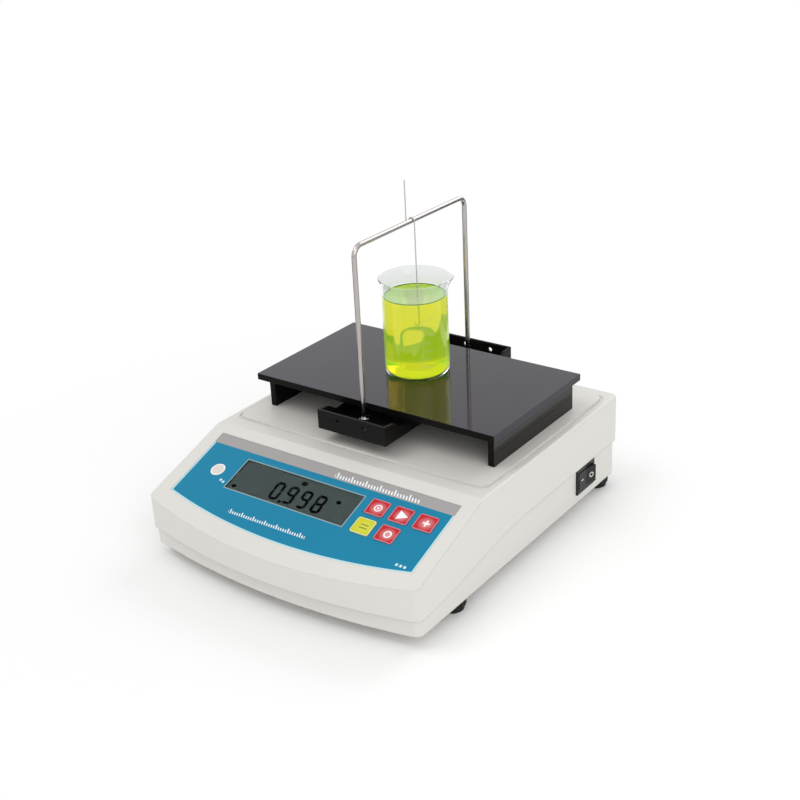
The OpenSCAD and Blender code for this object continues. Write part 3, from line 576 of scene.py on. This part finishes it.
def segmentBar(s, length, width):
    # six-sided bar with pointed ends: a box with its end faces drawn to an edge
    bpy.ops.mesh.primitive_cube_add(size=1)
    bar = bpy.context.object
    bar.scale = (length * mm, width * mm, s["inkHeight"] * mm)
    bpy.ops.object.transform_apply(scale=True)
    bpy.ops.object.mode_set(mode="EDIT")
    bpy.ops.mesh.select_all(action="DESELECT")
    bpy.ops.object.mode_set(mode="OBJECT")
    for face in bar.data.polygons:
        face.select = abs(face.normal.x) > 0.9
    bpy.ops.object.mode_set(mode="EDIT")
    bpy.ops.mesh.select_mode(type="FACE")
    bpy.ops.mesh.extrude_region_shrink_fatten(TRANSFORM_OT_shrink_fatten={"value": width * mm * s["point"]})
    bpy.ops.transform.resize(value=(1, s["pointWidth"], 1), center_override=(0, 0, 0))
    bpy.ops.object.mode_set(mode="OBJECT")
    return bar


def makeDisplay(s):
    half = s["height"] / 2 - s["bar"] / 2
    level = segmentBar(s, s["width"] - s["bar"] * 1.75, s["bar"])
    upright = segmentBar(s, half - s["bar"] * 0.9, s["bar"])
    lean = Matrix(((1, s["lean"], 0, 0), (0, 1, 0, 0), (0, 0, 1, 0), (0, 0, 0, 1)))
    inkZ = s["glassTop"] + s["inkHeight"] / 2 + s["gap"]
    inked = []
    for i, digit in enumerate(s["digits"]):
        middle = Matrix.Translation(Vector((s["firstX"] + s["pitch"] * i, -s["middleS"], inkZ)) * mm)
        for letter in digitSegments[digit]:
            px, py, stands = segmentPlaces[letter]
            bar = (upright if stands else level).copy()
            bar.data = bar.data.copy()
            bpy.context.scene.collection.objects.link(bar)
            turn = Matrix.Rotation(math.pi / 2 if stands else 0, 4, "Z")
            inDigit = Matrix.Translation(Vector((px * (s["width"] - s["bar"]), py * half, 0)) * mm) @ turn
            bar.data.transform(panelMatrix @ middle @ lean @ inDigit)
            inked.append(bar)
    point = (s["pointX"], s["pointS"], s["bar"], s["bar"])
    for x, downSlope, w, h in s["marks"] + (point,):
        mark = segmentBar(s, w * 0.5, h)
        mark.data.transform(panelMatrix @ Matrix.Translation(Vector((x, -downSlope, inkZ)) * mm))
        inked.append(mark)
    bpy.data.objects.remove(level)
    bpy.data.objects.remove(upright)
    settle(join(inked), "display_digits", "base", plainFinish("segmentInk"))


makeDisplay(displaySet)
print("display lit")


beakerSet = {
    "x": -2.2, "y": 41.15, "z": 84.7, "radius": 19.8, "height": 61.2, "wall": 1.2, "floor": 1.5,
    "rim": 21.9, "flare": 7.0, "heel": 3, "spoutAngle": 29, "spoutReach": 24.0, "spoutSpread": 26,
    "spoutDepth": 9, "lip": 0.5, "sides": 96, "liquidTop": 134.7,
}


def turned(rings, s):
    # stacks rings of (radius, height) by extruding one circle upwards
    radius, height = rings[0]
    bpy.ops.mesh.primitive_circle_add(
        vertices=s["sides"], radius=radius * mm, location=(s["x"] * mm, s["y"] * mm, height * mm))
    piece = bpy.context.object
    bpy.ops.object.transform_apply(location=True)
    bpy.ops.object.mode_set(mode="EDIT")
    bpy.ops.mesh.select_mode(type="VERT")
    bpy.ops.mesh.select_all(action="SELECT")
    for (r0, z0), (r1, z1) in zip(rings, rings[1:]):
        bpy.ops.mesh.extrude_region_move(TRANSFORM_OT_translate={"value": (0, 0, (z1 - z0) * mm)})
        bpy.ops.transform.resize(
            value=(r1 / r0, r1 / r0, 1), center_override=(s["x"] * mm, s["y"] * mm, z1 * mm))
    bpy.ops.object.mode_set(mode="OBJECT")
    return piece


def closeRing(piece, z, tolerance=0.00002):
    # caps the open ring that lies at height z
    bpy.ops.object.mode_set(mode="EDIT")
    bpy.ops.mesh.select_all(action="DESELECT")
    bpy.ops.object.mode_set(mode="OBJECT")
    for vertex in piece.data.vertices:
        vertex.select = abs(vertex.co.z - z * mm) < tolerance
    bpy.ops.object.mode_set(mode="EDIT")
    bpy.ops.mesh.edge_face_add()
    bpy.ops.object.mode_set(mode="OBJECT")


def recalculate(piece):
    pick(piece)
    bpy.ops.object.mode_set(mode="EDIT")
    bpy.ops.mesh.select_all(action="SELECT")
    bpy.ops.mesh.remove_doubles(threshold=0.00001)
    bpy.ops.mesh.normals_make_consistent(inside=False)
    bpy.ops.object.mode_set(mode="OBJECT")


def heelRings(radius, height, bend, steps=6):
    # rings round the quarter bend from floor to wall, whose middle is at (radius, height)
    made = []
    for i in range(steps + 1):
        angle = math.radians(-90 + 90 * i / steps)
        made.append((radius + bend * math.cos(angle), height + bend * math.sin(angle)))
    return made


glassSet = {
    "tints": ((0.89, 0.89, 0.92, 1), (0.91, 0.91, 0.94, 1)), "paintedWhiteVeil": 0.2, "printed": 0.16,
    "print": (236, 240, 236), "printAngle": 37, "printSoft": 0.2, "stem": (3.4, 25, 0.5, 30),
    "firstTick": 10, "tickPitch": 5, "tickHeight": 0.45, "longTick": (6.6, 6.4), "shortTick": (5.6, 4.4),
}


def beakerGlass(s, beaker):
    # clear glass with a faint printed scale, and a painted white veil above the liquid that stands in for
    # the bright reflections in the glass there
    f = Finish("labGlass", clear=1.0, bend=1.06, coat=0.6, coatRough=0.01)
    haze = f.noise(50)
    placed = f.place((beaker["x"] * mm, beaker["y"] * mm, beaker["z"] * mm))
    x, y, z = (part * perMetre for part in placed)
    angle = math.radians(s["printAngle"])
    across = x * math.cos(angle) + y * math.sin(angle)
    front = f.clamp((x * math.sin(angle) - y * math.cos(angle)) * 2)
    marks = box(f, across, z, *s["stem"], s["printSoft"])
    for i in range(7):
        tickX, tickLength = s["shortTick"] if i % 2 else s["longTick"]
        tickZ = s["firstTick"] + i * s["tickPitch"]
        marks = marks | box(f, across, z, tickX, tickZ, tickLength, s["tickHeight"], s["printSoft"])
    white = f.node("ShaderNodeBsdfDiffuse", values={"Color": tone(*s["print"])})
    # painted highlight: white diffuse over the glass above the liquid
    paintedWhiteVeil = f.clamp((z + beaker["z"] - beaker["liquidTop"]) / 0.8) * s["paintedWhiteVeil"]
    f.cover(paintedWhiteVeil | marks * front * s["printed"], white)
    return f.feed(colour=f.mix(haze, *s["tints"]), rough=haze * 0.02)


def drawSpout(beaker, s, top):
    # pushes the rim outwards at the spout, less and less below it and to its sides
    spout = beaker.vertex_groups.new(name="spout")
    for vertex in beaker.data.vertices:
        dx, dy = vertex.co.x / mm - s["x"], vertex.co.y / mm - s["y"]
        off = math.degrees(math.atan2(dy, dx)) - s["spoutAngle"]
        off = abs((off + 180) % 360 - 180)
        rise = max(0, min(1, (vertex.co.z / mm - (top - s["spoutDepth"])) / s["spoutDepth"]))
        near = max(0, 1 - off / s["spoutSpread"])
        spout.add([vertex.index], near * near * (3 - 2 * near) * rise ** 1.6, "REPLACE")
    outwards = (s["spoutReach"] - s["rim"] + 0.6) * mm
    angle = math.radians(s["spoutAngle"])
    for axis, share in (("X", math.cos(angle)), ("Y", math.sin(angle))):
        push = beaker.modifiers.new("spout" + axis, "DISPLACE")
        push.direction = axis
        push.mid_level = 0
        push.strength = outwards * share
        push.vertex_group = "spout"


def makeBeaker(s):
    base, top = s["z"], s["z"] + s["height"]
    floorZ = base + s["floor"] / 2
    r = s["radius"] - s["wall"] / 2
    rings = [(1.0, floorZ), (r - 2 * s["heel"], floorZ)]
    rings += heelRings(r - s["heel"], floorZ + s["heel"], s["heel"])
    rings += [(r, base + h) for h in (10, 20, 30, 40, 48)]
    rings += [(r, top - s["flare"] - 1), (r + 0.25, top - s["flare"] + 1), (r + 0.9, top - 3.6),
              (s["rim"] - 0.9, top - 1.5), (s["rim"] - 0.6, top - 0.6)]
    beaker = turned(rings, s)
    closeRing(beaker, floorZ)
    recalculate(beaker)
    drawSpout(beaker, s, top)
    thick = beaker.modifiers.new("wall", "SOLIDIFY")
    thick.thickness = s["wall"] * mm
    thick.offset = 0
    thick.use_even_offset = True
    lip = beaker.modifiers.new("lip", "BEVEL")
    lip.width = s["lip"] * mm
    lip.segments = 3
    lip.limit_method = "ANGLE"
    lip.angle_limit = math.radians(50)
    smooth = beaker.modifiers.new("smooth", "SUBSURF")
    smooth.levels = smooth.render_levels = 1
    pick(beaker)
    for modifier in list(beaker.modifiers):
        bpy.ops.object.modifier_apply(modifier=modifier.name)
    bpy.ops.object.shade_smooth()
    settle(beaker, "beaker_glass", "beaker", beakerGlass(glassSet, s))
    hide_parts("beaker")


makeBeaker(beakerSet)


# surface and meniscus tones are painted light: the paler top for reflections on the surface, the dark
# meniscus for total internal reflection
sampleSet = {
    "dyes": ((0.80, 0.45, 0.012, 1), (0.87, 0.49, 0.018, 1)), "surfacePaintedReflection": (0.9, 0.9, 0.12, 1),
    "meniscusPaintedShade": (0.03, 0.12, 0.03, 1), "glow": (0.2, 0.78, 0.02, 1), "surfaceGlow": (0.16, 0.34, 0.02, 1),
    "meniscusGlow": (0.01, 0.05, 0.01, 1), "surfaceDepth": 1.3, "meniscusDepth": 0.75,
    "heel": 2.6, "sag": 1.0, "middleSag": 1.0001, "gap": 0.02, "overlap": 0.03,
}


def liquidFinish(s, beaker):
    # a fluorescent sample: lets warm light through and glows green; its top is painted paler and greener for
    # the reflections on its surface, and a painted dark line at its rim stands in for the dark ring of total
    # internal reflection there
    f = Finish("sampleLiquid", clear=0.8, bend=1.34, glow=0.33)
    cloud = f.noise(35)
    x, y, z = f.place((0, 0, beaker["liquidTop"] * mm))
    surface = f.clamp((z * perMetre + s["surfaceDepth"]) / 0.2)
    meniscus = f.clamp((z * perMetre + s["meniscusDepth"]) / 0.3)
    dyeAndPaintedLight = f.mix(cloud, *s["dyes"])
    # painted reflection: the top 1.3 mm paler and greener, for the reflections on the liquid's surface
    dyeAndPaintedLight = f.mix(surface, dyeAndPaintedLight, s["surfacePaintedReflection"])
    # painted shade: a dark line at the meniscus, for the dark ring of total internal reflection
    dyeAndPaintedLight = f.mix(meniscus * 0.9, dyeAndPaintedLight, s["meniscusPaintedShade"])
    # the glow is dimmed at the surface and the meniscus too, as part of the same painted light
    glow = f.mix(surface, s["glow"], s["surfaceGlow"])
    glow = f.mix(meniscus, glow, s["meniscusGlow"])
    return f.feed(colour=dyeAndPaintedLight, glowColour=glow, rough=0.02 + cloud * 0.03)


def makeSample(s, beaker):
    base = beaker["z"] + beaker["floor"] + s["gap"]
    r = beaker["radius"] - beaker["wall"] + s["overlap"]
    top = beaker["liquidTop"]
    rings = [(0.8, base), (r - 4, base)] + heelRings(r - s["heel"], base + s["heel"], s["heel"])
    rings += [(r, base + 12), (r, base + 30), (r, top - s["sag"]), (r - 0.02, top), (r - 0.5, top - 0.5),
              (r - 1.6, top - 0.9), (r - 3.5, top - s["sag"]), (0.8, top - s["middleSag"])]
    sample = turned(rings, beaker)
    closeRing(sample, base)
    closeRing(sample, top - s["middleSag"], 0.00000005)  # leaves out the ring just above it
    recalculate(sample)
    bpy.ops.object.shade_smooth_by_angle(angle=math.radians(50))
    settle(sample, "sample_liquid", "beaker", liquidFinish(s, beaker))


makeSample(sampleSet, beakerSet)


def sinkerFinish():
    # near clear, with a painted darker outline where the bulb turns away from view, standing in for the dark
    # refraction at a glass bulb's edge
    f = Finish("sinkerGlass", clear=1.0, bend=1.05)
    haze = f.noise(80)
    facing = f.node("ShaderNodeLayerWeight", values={"Blend": 0.5}, out="Facing")
    body = f.mix(haze, (0.90, 0.94, 0.80, 1), (0.96, 0.98, 0.88, 1))
    # painted shade: dark green colour on the faces seen edge-on
    rim = f.clamp((facing - 0.72) * 6)
    return f.feed(colour=f.mix(rim, body, (0.10, 0.30, 0.03, 1)), rough=0.01 + haze * 0.02)


paint("glass_sinker", sinkerFinish())
print("glassware made")


rockerSet = {
    "middle": (93.75, 74.25, 23.0), "swing": 15, "face": 3.35, "along": 4.6, "proud": 0.06,
    "dash": (0.12, 2.3, 0.6), "dashBevel": 0.03, "ring": 1.45, "ringWire": 0.3, "ringFlat": 0.22,
}


def dashMark(s):
    bpy.ops.mesh.primitive_cube_add(size=1)
    dash = bpy.context.object
    dash.scale = tuple(side * mm for side in s["dash"])
    bpy.ops.object.transform_apply(scale=True)
    bpy.ops.object.mode_set(mode="EDIT")
    bpy.ops.mesh.bevel(offset=s["dashBevel"] * mm, segments=2)
    bpy.ops.object.mode_set(mode="OBJECT")
    return dash


def ringMark(s):
    bpy.ops.mesh.primitive_torus_add(
        major_radius=s["ring"] * mm, minor_radius=s["ringWire"] * mm, major_segments=40,
        minor_segments=10, rotation=(0, math.pi / 2, 0))
    circle = bpy.context.object
    bpy.ops.object.transform_apply(rotation=True)
    bpy.ops.object.mode_set(mode="EDIT")
    bpy.ops.mesh.select_all(action="SELECT")
    bpy.ops.transform.resize(value=(s["ringFlat"], 1, 1), center_override=(0, 0, 0))
    bpy.ops.object.mode_set(mode="OBJECT")
    return circle


def makeRockerMarks(s):
    # one mark on each wing of the rocker: the wings bend back from its middle
    tilt = math.radians(s["swing"] / 2)
    middle = Vector(s["middle"]) + Matrix.Rotation(-tilt, 4, "Z") @ Vector((s["face"], 0, 0))
    marks = []
    for side, mark in ((-1, dashMark(s)), (1, ringMark(s))):
        wing = Matrix.Rotation(-tilt - side * tilt, 4, "Z")
        along = wing @ Vector((s["proud"], side * s["along"], 0))
        mark.data.transform(Matrix.Translation((middle + along) * mm) @ wing)
        marks.append(mark)
    settle(join(marks), "rocker_marks", "rocker", plainFinish("rockerInk"))


makeRockerMarks(rockerSet)
print("rocker marked")


cardSet = {  # azimuth, distance, height of the middle, width, length, lying flat
    "low_card": (54, 0.8, 0.075, 0.6, 0.15, False),
    "right_card": (74, 0.54, 0.002, 0.34, 0.44, True),
    "left_card": (192, 0.5, 0.002, 0.24, 0.5, True),
}


def makeCards(s):
    # dark studio cards that only reflections see, so that the rods get their darker edge lines
    black = plainFinish("cardBlack")
    for name, (azimuth, distance, height, width, length, flat) in s.items():
        angle = math.radians(azimuth)
        bpy.ops.mesh.primitive_plane_add(size=1)
        card = bpy.context.object
        card.name = name
        card.scale = (width, length, 1)
        card.rotation_euler = (0 if flat else math.pi / 2, 0, angle + math.pi / 2)
        card.location = (distance * math.cos(angle), distance * math.sin(angle), height)
        card.visible_camera = False
        card.visible_diffuse = False
        card.visible_shadow = False
        card.visible_transmission = False
        card.data.materials.append(black)


benchSet = {"size": 8, "whiteFrom": 0.15, "whiteOver": 0.2, "drift": 3,
            "tints": ((0.975, 0.975, 0.975, 1), (0.99, 0.99, 0.99, 1))}


def makeBench(s):
    # pale bench with the part's soft shadow, pure white far away for the camera
    bpy.ops.mesh.primitive_plane_add(size=s["size"])
    bench = bpy.context.object
    bench.name = "bench"
    f = Finish("benchTop", shine=0.0)
    drift = f.noise(s["drift"])
    x, y, z = f.place()
    away = f.clamp((reach(f, x, y) - s["whiteFrom"]) / s["whiteOver"])
    white = f.node("ShaderNodeEmission", values={"Color": (1, 1, 1, 1), "Strength": 1.0})
    seen = f.node("ShaderNodeLightPath", out="Is Camera Ray")
    f.cover(away * seen, white)
    bench.data.materials.append(f.feed(colour=f.mix(drift, *s["tints"]), rough=0.8 + drift * 0.1))


makeCards(cardSet)
makeBench(benchSet)
print("studio laid out")
